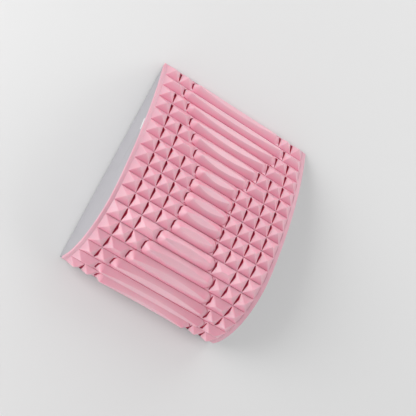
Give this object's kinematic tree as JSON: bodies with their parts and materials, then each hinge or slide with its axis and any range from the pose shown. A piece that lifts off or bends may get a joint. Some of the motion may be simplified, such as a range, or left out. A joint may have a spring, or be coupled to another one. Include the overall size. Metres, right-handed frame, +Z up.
{
  "type": "back stretcher pillow",
  "caption": "Arched back stretcher: a pink knobbed foam massage pad bonded over a light grey plastic body with a steep front end, a long gentle back slope and rubber feet.",
  "frame": {"origin": "middle of the part on the floor, under the centre of its length and width", "axes": "+X across the user's back towards the end wall without the tab, -Y towards the steep front end, +Z up"},
  "size_m": [0.2522, 0.314, 0.0966],
  "materials": {
    "pink_foam": "soft closed-cell foam skin with a wet-looking half gloss",
    "grey_plastic": "smooth satin moulding",
    "white_plastic": "plain white",
    "dark_rubber": "matt",
    "zinc_steel": "bright zinc"
  },
  "bodies": {
    "root": {"arch_body": "grey_plastic", "massage_pad": "pink_foam", "side_tab": "white_plastic", "base_plate": "grey_plastic", "base_screw_1": "zinc_steel", "base_screw_2": "zinc_steel", "base_screw_3": "zinc_steel", "base_screw_4": "zinc_steel", "base_screw_5": "zinc_steel", "base_screw_6": "zinc_steel", "base_screw_7": "zinc_steel", "base_screw_8": "zinc_steel", "foot_front_left": "dark_rubber", "foot_front_right": "dark_rubber", "foot_back_left": "dark_rubber", "foot_back_right": "dark_rubber"}
  },
  "joints": []
}
